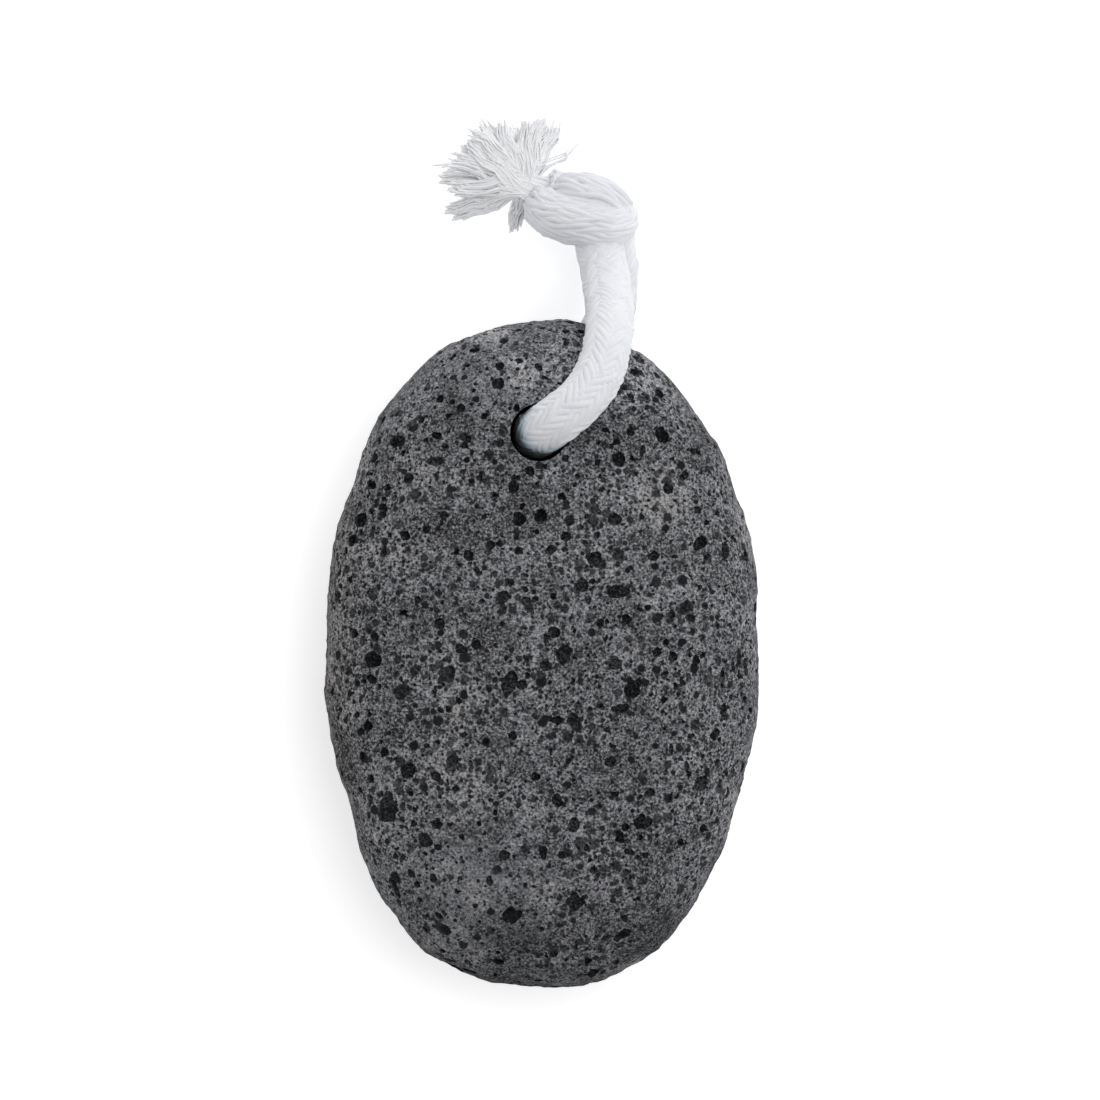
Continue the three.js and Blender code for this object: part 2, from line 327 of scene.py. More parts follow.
def lavaMaterial():
    look = lavaLook
    material, tree, shader = shaderBase("lava")
    place = out(put(tree, "ShaderNodeTexCoord"), "Object")
    hollow = out(put(tree, "ShaderNodeAttribute", attribute_name="hollow"), "Fac")
    patch = out(cloudy(tree, place, look["patchSize"], 3.0))
    mottle = out(cloudy(tree, place, look["mottleSize"], 3.0, 0.6))
    grain = out(cloudy(tree, place, look["grainSize"], 5.0, 0.78))
    shift = noiseShift(tree, place, 1 / (look["poreSizes"][2] * mm), 2.0, look["poreWarp"] * mm)
    bent = vecCalc(tree, "ADD", place, shift)
    across, along, height = put(tree, "ShaderNodeSeparateXYZ", {0: place}).outputs
    girth, near, far = (v * mm for v in look["girthWear"])
    coarse = ramp(tree, calc(tree, "ABSOLUTE", calc(tree, "SUBTRACT", height, girth)), near, far)
    for spot, reach in look["wornPlaces"]:
        away = put(tree, "ShaderNodeVectorMath", {0: place, 1: [v * mm for v in spot]}, operation="DISTANCE")
        unworn = ramp(tree, away.outputs["Value"], look["wornCore"] * reach * mm, reach * mm)
        coarse = calc(tree, "MULTIPLY", coarse, unworn)
    busy = calc(tree, "MULTIPLY", ramp(tree, patch, *look["porePatches"]),
                calc(tree, "MULTIPLY_ADD", coarse, *look["poreWear"]))
    grain = calc(tree, "MULTIPLY_ADD", calc(tree, "SUBTRACT", grain, 0.5),
                 calc(tree, "MULTIPLY_ADD", coarse, *look["grainWear"]), 0.5)
    foam = 0.0
    for size in look["poreSizes"]:
        foam = calc(tree, "MAXIMUM", foam, poreCells(tree, bent, size, busy))
    cloud = calc(tree, "ADD", calc(tree, "MULTIPLY", mottle, look["mottleShare"]),
                 calc(tree, "MULTIPLY", patch, look["patchShare"]))
    drop = calc(tree, "MULTIPLY_ADD", coarse, *look["toneDrop"])
    tone = calc(tree, "ADD", grain, calc(tree, "SUBTRACT", cloud, drop))
    skin = colourStops(tree, tone, look["grainStops"])
    # painted light towards one end of the stone and painted shade towards the other
    for start, stop, shade in (look["paintedLightEnd"], look["paintedShadeEnd"]):
        share = ramp(tree, along, start * mm, stop * mm)
        skin = blendColour(tree, share, skin, (shade, shade, shade, 1.0), "MULTIPLY")
    start, stop, most = look["warmRim"]
    warmth = ramp(tree, across, start * mm, stop * mm, 0.0, most)
    start, stop, most = look["warmPatches"]
    warmth = calc(tree, "MAXIMUM", warmth, ramp(tree, patch, start, stop, 0.0, most))
    skin = blendColour(tree, warmth, skin, look["warmTint"], "MULTIPLY")
    # the small pores painted dark: painted shade
    skin = blendColour(tree, foam, skin, look["poreShade"])
    # painted shade in the pits: the deeper, the darker
    torn = calc(tree, "MULTIPLY_ADD", grain, look["raggedRim"], -0.5 * look["raggedRim"])
    ragged = calc(tree, "MULTIPLY", torn, ramp(tree, hollow, 0.0, look["rimFade"]))
    sunk = ramp(tree, calc(tree, "ADD", hollow, ragged), *look["pitShadeFrom"])
    colour = blendColour(tree, sunk, skin, colourStops(tree, tone, look["pitShadeStops"]))
    tree.links.new(colour, shader.inputs["Base Color"])
    relief = calc(tree, "SUBTRACT", calc(tree, "MULTIPLY", tone, look["toneRelief"]), foam)
    bump = put(tree, "ShaderNodeBump", {"Height": relief, "Strength": 1.0,
                                        "Distance": look["bumpHeight"] * mm})
    tree.links.new(out(bump), shader.inputs["Normal"])
    shader.inputs["Roughness"].default_value = look["roughness"]
    shader.inputs["Specular IOR Level"].default_value = look["shine"]
    return material


cottonLook = {
    "yarn": (0.840, 0.850, 0.880, 1.0),
    "fold": (0.785, 0.802, 0.850, 1.0),
    "paintedLightYarn": (0.965, 0.970, 0.985, 1.0),  # a lighter copy of the cotton for the loose yarns, painted light against the shade among them
    "paintedLightFold": (0.930, 0.940, 0.965, 1.0),
    "holeShadeStops": [  # painted shade on the length of cord that lies in the hole, darkest deep down
        (0.0, (1.0, 1.0, 1.0, 1.0)),
        (0.5, (0.53, 0.64, 0.72, 1.0)),
        (1.0, (0.055, 0.085, 0.095, 1.0)),
    ],
    "fibreSize": 0.22,
    "fibreShare": 0.6,
    "smudgeSize": 3.5,
    "smudgeShare": 0.4,
    "foldTones": (0.36, 0.56),
    "bumpStrength": 0.5,
    "bumpHeight": 0.08,
    "roughness": 0.9,
    "shine": 0.2,
    "sheen": 0.25,
    "sheenRoughness": 0.5,
}


def cottonMaterial(name, fold, yarn):
    look = cottonLook
    material, tree, shader = shaderBase(name)
    place = out(put(tree, "ShaderNodeTexCoord"), "Object")
    fibre = out(cloudy(tree, place, look["fibreSize"], 3.0, 0.65))
    smudge = out(cloudy(tree, place, look["smudgeSize"], 2.0))
    mixed = calc(tree, "ADD", calc(tree, "MULTIPLY", fibre, look["fibreShare"]),
                 calc(tree, "MULTIPLY", smudge, look["smudgeShare"]))
    colour = blendColour(tree, ramp(tree, mixed, *look["foldTones"]), look[fold], look[yarn])
    # painted shade where the cord lies in the drilled hole
    holeShade = out(put(tree, "ShaderNodeAttribute", attribute_name="holeShade"), "Fac")
    colour = blendColour(tree, 1.0, colour, colourStops(tree, holeShade, look["holeShadeStops"]), "MULTIPLY")
    tree.links.new(colour, shader.inputs["Base Color"])
    bump = put(tree, "ShaderNodeBump", {"Height": fibre, "Strength": look["bumpStrength"],
                                        "Distance": look["bumpHeight"] * mm})
    tree.links.new(out(bump), shader.inputs["Normal"])
    shader.inputs["Roughness"].default_value = look["roughness"]
    shader.inputs["Specular IOR Level"].default_value = look["shine"]
    shader.inputs["Sheen Weight"].default_value = look["sheen"]
    shader.inputs["Sheen Roughness"].default_value = look["sheenRoughness"]
    return material


lava = lavaMaterial()
cotton = cottonMaterial("cotton", "fold", "yarn")
# the same cotton painted lighter for the frayed yarns: painted light
paintedLightCotton = cottonMaterial("cotton painted light", "paintedLightFold", "paintedLightYarn")
print("materials ready")

# cord, knot and frayed ends: braided cotton
cordSpec = {
    "diameter": 7.4,
    "strands": 10,  # each way round
    "yarns": 2,  # side by side in a strand
    "turnLength": 24.0,  # length of cord in which a strand goes once round
    "yarnRadius": 0.68,
    "weave": 0.09,  # half the height between the upper and the lower strand
    "wobble": 0.24,
    "step": 0.5,
    "clearance": 0.35,
    "channelSides": 32,
    "holeShadeHeights": (34.3, 30.5),  # painted shade in the hole: where it starts and is full, from above and from below
    "holeShadeLowHeights": (5.0, 9.0),
    "holeShadeReach": (7.5, 5.0),
}
cordRoute = [
    (8.2, 63.6, 11.2), (8.9, 60.2, 11.9), (9.5, 57.0, 14.2), (9.9, 53.9, 18.4), (10.1, 50.9, 23.3),
    (9.9, 47.7, 28.0), (9.2, 44.0, 31.2), (7.8, 40.6, 32.9), (5.4, 37.6, 33.9), (2.5, 35.2, 33.6),
    (0.5, 33.8, 31.6), (-0.5, 33.2, 28.0), (-0.8, 32.9, 20.5), (-0.6, 33.1, 13.5), (0.2, 34.4, 8.8),
    (2.2, 37.8, 5.2), (4.9, 42.0, 4.1), (8.2, 47.0, 4.0), (10.4, 52.0, 4.0), (10.9, 57.0, 4.0),
    (10.8, 60.5, 4.0), (10.4, 63.4, 4.0),
]
cordLine = smoothLine(cordRoute)
braidShape = {
    "crossing": 1.7,  # how quickly a strand goes over or under another
    "noiseStep": 0.13,  # how far apart the yarns read their noise
    "noiseScale": 280.0,
    "noiseGain": 3.0,
    "yarnSides": 6,
    "coreSides": 16,
}


def braidTree():
    tree, given = newTree("braid", [
        ("Cord Radius", "Float"), ("Strands", "Int"), ("Yarns", "Int"), ("Turn Length", "Float"),
        ("Yarn Radius", "Float"), ("Weave", "Float"), ("Wobble", "Float"), ("Step", "Float"),
        ("Material", "Material")])
    route = put(tree, "GeometryNodeMeshToCurve", {"Mesh": given["Geometry"]})
    even = out(put(tree, "GeometryNodeResampleCurve", {"Curve": out(route), "Length": given["Step"]},
                   mode="LENGTH"))
    each = calc(tree, "MULTIPLY", given["Strands"], given["Yarns"])
    copies = put(tree, "GeometryNodeDuplicateElements",
                 {"Geometry": even, "Amount": calc(tree, "MULTIPLY", each, 2.0)}, domain="SPLINE")
    index = out(copies, "Duplicate Index")
    yarn = calc(tree, "FLOORED_MODULO", index, given["Yarns"])
    strand = calc(tree, "FLOORED_MODULO", calc(tree, "FLOOR", calc(tree, "DIVIDE", index, given["Yarns"])),
                  given["Strands"])
    family = calc(tree, "FLOOR", calc(tree, "DIVIDE", index, each))
    sense = calc(tree, "MULTIPLY_ADD", family, -2.0, 1.0)  # half the strands turn each way
    along = out(put(tree, "GeometryNodeSplineParameter"), "Length")
    aside = calc(tree, "SUBTRACT", yarn, calc(tree, "MULTIPLY_ADD", given["Yarns"], 0.5, -0.5))
    share = calc(tree, "ADD", strand, calc(tree, "DIVIDE", aside, given["Yarns"]))
    wound = calc(tree, "MULTIPLY", sense, calc(tree, "DIVIDE", along, given["Turn Length"]))
    turns = calc(tree, "ADD", wound, calc(tree, "DIVIDE", share, given["Strands"]))
    angle = calc(tree, "MULTIPLY", turns, 2 * math.pi)
    swing = calc(tree, "SINE", calc(tree, "MULTIPLY", angle, calc(tree, "MULTIPLY", given["Strands"], 0.5)))
    steep = calc(tree, "MULTIPLY", swing, braidShape["crossing"])
    lift = calc(tree, "MAXIMUM", calc(tree, "MINIMUM", steep, 1.0), -1.0)
    skin = calc(tree, "ADD", given["Yarn Radius"], given["Weave"])
    middle = calc(tree, "SUBTRACT", given["Cord Radius"], skin)
    raised = calc(tree, "MULTIPLY", calc(tree, "MULTIPLY", lift, sense), given["Weave"])
    radius = calc(tree, "ADD", middle, raised)
    normal = out(put(tree, "GeometryNodeInputNormal"), "Normal")
    tangent = out(put(tree, "GeometryNodeInputTangent"))
    side = vecCalc(tree, "CROSS_PRODUCT", tangent, normal)
    offset = vecCalc(tree, "ADD",
                     stretched(tree, normal, calc(tree, "MULTIPLY", calc(tree, "COSINE", angle), radius)),
                     stretched(tree, side, calc(tree, "MULTIPLY", calc(tree, "SINE", angle), radius)))
    apart = calc(tree, "MULTIPLY", index, braidShape["noiseStep"])
    spot = vecCalc(tree, "ADD", out(put(tree, "GeometryNodeInputPosition")),
                   out(put(tree, "ShaderNodeCombineXYZ", {"X": apart})))
    unevenness = noiseShift(tree, spot, braidShape["noiseScale"], 1.0,
                            calc(tree, "MULTIPLY", given["Wobble"], braidShape["noiseGain"]))
    yarnsSet = put(tree, "GeometryNodeSetPosition", {"Geometry": out(copies, "Geometry"),
                                                     "Offset": vecCalc(tree, "ADD", offset, unevenness)})
    yarnMesh = tubed(tree, out(yarnsSet), braidShape["yarnSides"], given["Yarn Radius"])
    core = tubed(tree, even, braidShape["coreSides"], calc(tree, "SUBTRACT", middle, given["Weave"]))
    whole = put(tree, "GeometryNodeJoinGeometry")
    tree.links.new(yarnMesh, whole.inputs[0])
    tree.links.new(core, whole.inputs[0])
    smooth = put(tree, "GeometryNodeSetShadeSmooth", {"Geometry": out(whole)})
    return endTree(tree, out(smooth), given["Material"])


braid = braidTree()


def braided(name, lines, radius, spec):
    return baked(name, lineMesh(name, lines), braid, {
        "Cord Radius": radius * mm, "Strands": spec["strands"], "Yarns": spec["yarns"],
        "Turn Length": spec["turnLength"] * mm, "Yarn Radius": spec["yarnRadius"] * mm,
        "Weave": spec["weave"] * mm, "Wobble": spec["wobble"] * mm, "Step": spec["step"] * mm,
        "Material": cotton})


cord = braided("braided_cord", [cordLine], cordSpec["diameter"] / 2, cordSpec)


def eased(value, start, stop):
    t = np.clip((value - start) / (stop - start), 0, 1)
    return t * t * (3 - 2 * t)


def shadeInHole(piece, spec, hole):  # how much painted shade the cotton gets where it lies in the drilled hole
    points = np.array([v.co for v in piece.data.vertices]) / mm
    away = np.hypot(points[:, 0] - hole[0], points[:, 1] - hole[1])
    holeShade = eased(points[:, 2], *spec["holeShadeHeights"]) * eased(points[:, 2], *spec["holeShadeLowHeights"])
    holeShade *= eased(away, *spec["holeShadeReach"])
    piece.data.attributes.new("holeShade", "FLOAT", "POINT").data.foreach_set("value", holeShade.astype(np.float32))


holeSpec = {
    "place": (-0.5, 33.1),
    "diameter": 8.6,
    "levels": (18.0, 30.0, 50.0),  # below the first of them the hole fits the cord closely
    "sides": 40,
}
# the cord gets painted shade down in the hole
shadeInHole(cord, cordSpec, holeSpec["place"])

knotSpec = {
    "radius": 3.6,
    "strands": 12,
    "yarns": 2,
    "turnLength": 80.0,  # pulled tight, so the strands run more along the cord
    "yarnRadius": 0.54,
    "weave": 0.06,
    "wobble": 0.45,
    "step": 0.5,
}
knotTurns = [  # the upper strand's way in, the wrap across the front, and both ends' way out
    [(8.6, 61.6, 11.5), (8.3, 64.4, 10.4), (7.4, 66.7, 7.7), (5.8, 68.0, 6.4),
     (4.5, 69.3, 8.4), (6.8, 69.2, 11.2), (9.0, 68.5, 11.8), (10.8, 66.4, 10.6)],
    [(10.2, 67.2, 8.8), (11.0, 65.6, 10.8), (9.8, 64.8, 12.6), (7.0, 65.0, 13.2),
     (3.6, 65.7, 12.0), (1.2, 67.0, 9.2), (0.6, 67.6, 6.6), (2.6, 67.8, 4.2),
     (5.6, 67.9, 3.8), (8.6, 67.4, 3.9), (10.4, 65.6, 4.0), (10.5, 62.8, 4.0)],
    [(6.4, 68.2, 5.0), (3.4, 69.4, 5.6), (0.6, 70.2, 6.2)],
]
knot = braided("overhand_knot", [smoothLine(turn) for turn in knotTurns], knotSpec["radius"], knotSpec)
print("knot tied:", len(knot.data.polygons), "faces")

fraySpec = {
    "neck": (2.6, 69.4, 6.0),
    "root": (-2.4, 71.2, 6.2),
    "yarnsPerLock": 95,
    "strayYarns": 6,
    "yarnRadius": 0.15,
    "rootSpread": 1.8,
    "tipSpread": 0.75,
    "strayTipSpread": 0.2,
    "wave": 0.45,  # how far each yarn strays by itself, and how far a whole lock curls
    "curl": 0.9,
    "waveScale": 260.0,
    "curlScale": 330.0,
    "swing": 4.0,
    "flatness": 0.4,  # yarns spread this share as far up and down as sideways
    "shortest": 0.84,
    "lowest": 0.35,
    "points": 9,
    "yarnSides": 4,
    "seed": 7,
}
lockTips = [  # where the locks of the fan end
    (-9.4, 80.7, 4.0), (-10.3, 79.8, 6.0), (-10.5, 78.8, 3.6), (-11.1, 78.0, 6.2), (-12.4, 76.7, 4.4),
    (-13.6, 75.7, 5.4), (-15.4, 72.4, 3.4), (-14.1, 70.8, 5.0), (-12.7, 70.2, 3.0), (-15.0, 67.3, 2.2),
    (-14.1, 66.6, 1.4), (-5.0, 65.2, 1.6), (1.6, 80.6, 5.0), (0.1, 81.2, 3.8), (-0.7, 81.5, 6.0),
    (-2.6, 80.6, 5.6), (-4.7, 80.3, 3.4), (-6.5, 80.3, 6.0),
]
strayTips = [  # single yarns that stand out of the fan
    (5.5, 77.1, 6.2), (-16.2, 74.9, 6.4), (-15.2, 73.4, 5.0),
]


def frayTree():
    tree, given = newTree("frayed yarns", [
        ("Yarns", "Int"), ("Yarn Radius", "Float"), ("Root Spread", "Float"), ("Tip Spread", "Float"),
        ("Wave", "Float"), ("Curl", "Float"), ("Shortest", "Float"), ("Lowest", "Float"), ("Seed", "Int"),
        ("Material", "Material")])
    flat = fraySpec["flatness"]
    locks = put(tree, "GeometryNodeMeshToCurve", {"Mesh": given["Geometry"]})
    even = put(tree, "GeometryNodeResampleCurve", {"Curve": out(locks), "Count": fraySpec["points"]},
               mode="COUNT")
    copies = put(tree, "GeometryNodeDuplicateElements", {"Geometry": out(even), "Amount": given["Yarns"]},
                 domain="SPLINE")
    number = out(put(tree, "GeometryNodeFieldOnDomain", {"Value": out(put(tree, "GeometryNodeInputIndex"))},
                     data_type="INT", domain="CURVE"))
    chance = chanceOf(tree, "FLOAT_VECTOR", (-1, -1, -flat), (1, 1, flat), given["Seed"], ID=number)
    along = out(put(tree, "GeometryNodeSplineParameter"), "Factor")
    growth = calc(tree, "SUBTRACT", given["Tip Spread"], given["Root Spread"])
    spread = calc(tree, "ADD", given["Root Spread"], calc(tree, "MULTIPLY", along, growth))
    place = out(put(tree, "GeometryNodeInputPosition"))
    seen = vecCalc(tree, "ADD", place, chance)
    moved = vecCalc(tree, "ADD", place, stretched(tree, chance, spread))
    for where, amount, scale in ((seen, given["Wave"], fraySpec["waveScale"]),
                                 (place, given["Curl"], fraySpec["curlScale"])):
        swing = calc(tree, "MULTIPLY", calc(tree, "MULTIPLY", amount, along), fraySpec["swing"])
        moved = vecCalc(tree, "ADD", moved, noiseShift(tree, where, scale, 1.0, swing))
    parts = put(tree, "ShaderNodeSeparateXYZ", {0: moved})
    kept = put(tree, "ShaderNodeCombineXYZ", {
        "X": parts.outputs[0], "Y": parts.outputs[1],
        "Z": calc(tree, "MAXIMUM", parts.outputs[2], given["Lowest"])})
    yarnsSet = put(tree, "GeometryNodeSetPosition",
                   {"Geometry": out(copies, "Geometry"), "Position": out(kept)})
    end = chanceOf(tree, "FLOAT", given["Shortest"], 1.0, given["Seed"], ID=number)
    cut = put(tree, "GeometryNodeTrimCurve", {"Curve": out(yarnsSet), "End": end}, mode="FACTOR")
    yarnMesh = tubed(tree, out(cut), fraySpec["yarnSides"], given["Yarn Radius"])
    smooth = put(tree, "GeometryNodeSetShadeSmooth", {"Geometry": yarnMesh})
    return endTree(tree, out(smooth), given["Material"])


def frayed(name, tips, yarns, tipSpread, tree):
    lines = []
    for tip in tips:
        neck, root, end = (np.array(p) for p in (fraySpec["neck"], fraySpec["root"], tip))
        half = root + (end - root) * 0.5
        lines.append(smoothLine([neck, root, half, end]))
    return baked(name, lineMesh(name, lines), tree, {
        "Yarns": yarns, "Yarn Radius": fraySpec["yarnRadius"] * mm,
        "Root Spread": fraySpec["rootSpread"] * mm, "Tip Spread": tipSpread * mm,
        "Wave": fraySpec["wave"] * mm, "Curl": fraySpec["curl"] * mm, "Shortest": fraySpec["shortest"],
        "Lowest": fraySpec["lowest"] * mm, "Seed": fraySpec["seed"], "Material": paintedLightCotton})


def joinedInto(target, other):  # adds another piece's mesh, and removes that piece
    shape = bmesh.new()
    shape.from_mesh(target.data)
    shape.from_mesh(other.data)
    shape.to_mesh(target.data)
    shape.free()
    bpy.data.objects.remove(other)


fray = frayTree()
fan = frayed("frayed_yarns", lockTips, fraySpec["yarnsPerLock"], fraySpec["tipSpread"], fray)
joinedInto(fan, frayed("stray_yarns", strayTips, fraySpec["strayYarns"], fraySpec["strayTipSpread"], fray))
print("ends frayed:", len(fan.data.polygons), "faces")

# stone
stoneSpec = {
    "length": 100.0,
    "width": 65.0,
    "thickness": 34.0,
    "girthHeight": 16.5,
    "outlinePower": 2.2,
    "profilePower": 2.6,
    "rubbedDepth": 1.6,
    "bowRise": 0.55,
    "bowStart": 6.0,
    "bowEnd": 44.0,
    "waveHeight": 0.3,
    "rows": 6,
    "fineAbove": -0.30,  # the skin is twice as fine from a little under the girth upwards
    "lumpHeight": 0.22,
    "lumpSize": 5.0,
    "lumpDetail": (0.9, 2.1, 3),
    "roughHeight": 0.24,
    "roughSize": 1.3,
    "sharpFrom": 45.0,  # degrees between faces from which an edge looks sharp
}
sideHint = (0.27, 0.53, 0.8)  # a direction that no pit or tube here points along
outlineSwells = [  # heading and spread in degrees, share of the radius
    (192, 12, 0.008), (218, 16, -0.014), (245, 12, 0.014), (287, 10, 0.012), (322, 18, -0.014),
    (60, 14, -0.014),
]


def outlineGrowth(x, y):
    heading = np.degrees(np.arctan2(y, x))
    growth = np.ones_like(heading)
    for at, spread, share in outlineSwells:
        away = (heading - at + 180) % 360 - 180
        growth += share * np.exp(-((away / spread) ** 2))
    return growth


def skinPoints(u):  # points of the skin, in millimetres, in directions u from the middle of the stone
    s = stoneSpec
    halfWidth, halfLength = s["width"] / 2, s["length"] / 2
    upper, lower = s["thickness"] - s["girthHeight"], s["girthHeight"] + s["rubbedDepth"]
    ux, uy, uz = u.T
    plan = np.abs(ux) ** s["outlinePower"] + np.abs(uy) ** s["outlinePower"]
    reach = plan ** (s["profilePower"] / s["outlinePower"]) + np.abs(uz) ** s["profilePower"]
    reach = reach ** (1 / s["profilePower"])
    growth = outlineGrowth(ux * halfWidth, uy * halfLength) / reach
    x, y = halfWidth * ux * growth, halfLength * uy * growth
    t = np.clip((y - s["bowStart"]) / (s["bowEnd"] - s["bowStart"]), 0, 1)
    bow = 1 - s["bowRise"] * t * t * (3 - 2 * t)
    z = s["girthHeight"] + np.where(uz > 0, upper, lower * bow) * uz / reach
    outward = np.stack([ux / halfWidth, uy / halfLength, uz / upper], axis=1)
    outward /= np.linalg.norm(outward, axis=1, keepdims=True)
    # two sets of low waves all over
    broad = np.sin(0.31 * x + 0.8) * np.cos(0.27 * y - 0.5)
    narrow = np.sin(0.52 * y + 1.1) * np.cos(0.44 * x + 0.2 * z)
    points = np.stack([x, y, z], axis=1) + outward * (s["waveHeight"] * (broad + 0.6 * narrow))[:, None]
    points[:, 2] = np.maximum(points[:, 2], 0)
    return points, outward


def upperDirection(x, y):  # the direction in which the upper skin lies at x, y
    s = stoneSpec
    growth = float(outlineGrowth(np.array([x]), np.array([y]))[0])
    across, along = x / (s["width"] / 2 * growth), y / (s["length"] / 2 * growth)
    plan = abs(across) ** s["outlinePower"] + abs(along) ** s["outlinePower"]
    lift = (1 - plan ** (s["profilePower"] / s["outlinePower"])) ** (1 / s["profilePower"])
    return np.array([across, along, lift])


def rawStone():  # the stone without its hole and pits
    s = stoneSpec
    shape = bmesh.new()
    bmesh.ops.create_icosphere(shape, subdivisions=s["rows"], radius=1.0)
    shown = [e for e in shape.edges if all(v.co.z > s["fineAbove"] for v in e.verts)]
    bmesh.ops.subdivide_edges(shape, edges=shown, cuts=1, use_grid_fill=True)
    bmesh.ops.triangulate(shape, faces=shape.faces)
    u = np.array([v.co.normalized() for v in shape.verts])
    points, outward = skinPoints(u)
    for vertex, point, way in zip(shape.verts, points, outward):
        lump = noise.fractal(Vector(point / s["lumpSize"]), *s["lumpDetail"]) * s["lumpHeight"]
        lump += noise.noise(Vector(point / s["roughSize"])) * s["roughHeight"]
        place = point + way * lump
        place[2] = max(place[2], 0.0)
        vertex.co = Vector(place * mm)
    mesh = bpy.data.meshes.new("raw stone")
    shape.to_mesh(mesh)
    shape.free()
    return mesh


def ringTube(line, radius, sides):  # a closed tube, for cutting
    shape = bmesh.new()
    rings = []
    normal = Vector(sideHint).cross(Vector(line[1] - line[0])).normalized()
    for i, point in enumerate(line):
        tangent = Vector(line[min(i + 1, len(line) - 1)] - line[max(i - 1, 0)]).normalized()
        normal = (normal - tangent * normal.dot(tangent)).normalized()
        side = tangent.cross(normal)
        turns = [2 * math.pi * k / sides for k in range(sides)]
        rings.append([shape.verts.new(Vector(point) + (normal * math.cos(a) + side * math.sin(a)) * radius)
                      for a in turns])
    for first, second in zip(rings, rings[1:]):
        for k in range(sides):
            shape.faces.new((first[k], first[(k + 1) % sides], second[(k + 1) % sides], second[k]))
    shape.faces.new(rings[0][::-1])
    shape.faces.new(rings[-1])
    bmesh.ops.recalc_face_normals(shape, faces=shape.faces)
    mesh = bpy.data.meshes.new("tube")
    shape.to_mesh(mesh)
    shape.free()
    return mesh


def carved(target, cutterMesh):
    cutter = bpy.data.objects.new("cutter", cutterMesh)
    bpy.context.scene.collection.objects.link(cutter)
    cut = target.modifiers.new("cut", "BOOLEAN")
    cut.operation = "DIFFERENCE"
    cut.solver = "MANIFOLD"
    cut.object = cutter
    plainMesh(target)
    bpy.data.objects.remove(cutter)


pitSpec = {
    "depthShare": 0.8,
    "sink": 0.14,  # how deep a bubble's middle lies, as a share of its width
    "shallowSink": -0.14,
    "hiddenCount": 60,
    "hiddenSmallest": 1.7,
    "hiddenLargest": 3.6,
    "hiddenTop": 0.3,
    "hiddenStretch": 0.4,
    "ragged": 0.15,  # how uneven a pit's rim is, as a share of its width
    "raggedSize": 0.45,
    "apart": 0.75,  # least distance of two bubbles cut at once, as a share of their lengths
    "roundFrom": 2.2,  # wider pits are cut with a rounder bubble
    "darkFrom": 0.38,  # depth at which a pit's painted shade is as dark as it gets
    "seed": 5,
}
facePits = [  # x, y, width, length and the heading of the length
    (-23.1, -23.2, 3.3, 4.5, 80), (-25.2, -0.8, 3.0, 3.0, 0), (-4.9, -4.1, 2.3, 4.2, 62),
    (4.9, -36.6, 3.0, 3.0, 0), (-4.6, -38.7, 2.7, 2.7, 0), (13.3, -5.1, 2.7, 2.8, 90),
    (15.1, -24.8, 2.3, 3.3, 10), (2.2, -21.5, 2.0, 2.6, 95), (4.6, -25.1, 2.0, 2.6, 75),
    (-19.8, -17.0, 2.7, 2.7, 0), (-13.3, -15.5, 2.1, 2.3, 40), (-23.4, -14.5, 1.8, 1.8, 0),
    (-14.1, -2.7, 2.7, 2.7, 0), (-15.1, 4.8, 2.0, 2.0, 0), (-5.8, 8.6, 1.8, 2.7, 60),
    (-3.5, 20.2, 2.3, 2.5, 90), (-0.2, 20.6, 2.3, 2.3, 0), (-21.6, 31.8, 2.2, 2.7, 170),
    (-6.6, 40.4, 2.1, 2.3, 90), (-15.9, 28.8, 1.7, 3.0, 5), (-27.3, 20.2, 2.4, 2.6, 70),
    (11.4, 29.2, 2.3, 2.3, 0), (10.8, 20.2, 2.0, 2.4, 0), (16.5, 14.8, 1.8, 1.8, 0),
    (7.6, 14.5, 2.4, 2.4, 0), (23.6, 16.7, 2.2, 2.8, 20), (27.3, 15.7, 1.5, 3.0, 90),
    (11.2, 9.5, 2.1, 3.8, 5), (3.1, 0.2, 2.7, 3.1, 70), (11.8, -7.7, 1.6, 2.4, 15),
    (10.0, -15.7, 1.8, 1.9, 0), (-5.6, -29.5, 1.8, 1.8, 0), (0.1, -29.2, 1.5, 3.4, 88),
    (-14.5, -41.1, 2.0, 2.0, 0), (-17.2, -27.6, 2.3, 2.3, 0), (-22.1, -34.8, 1.6, 3.6, 110),
    (17.8, 32.7, 2.5, 2.8, 120), (23.4, -19.0, 2.3, 2.7, 80),
]
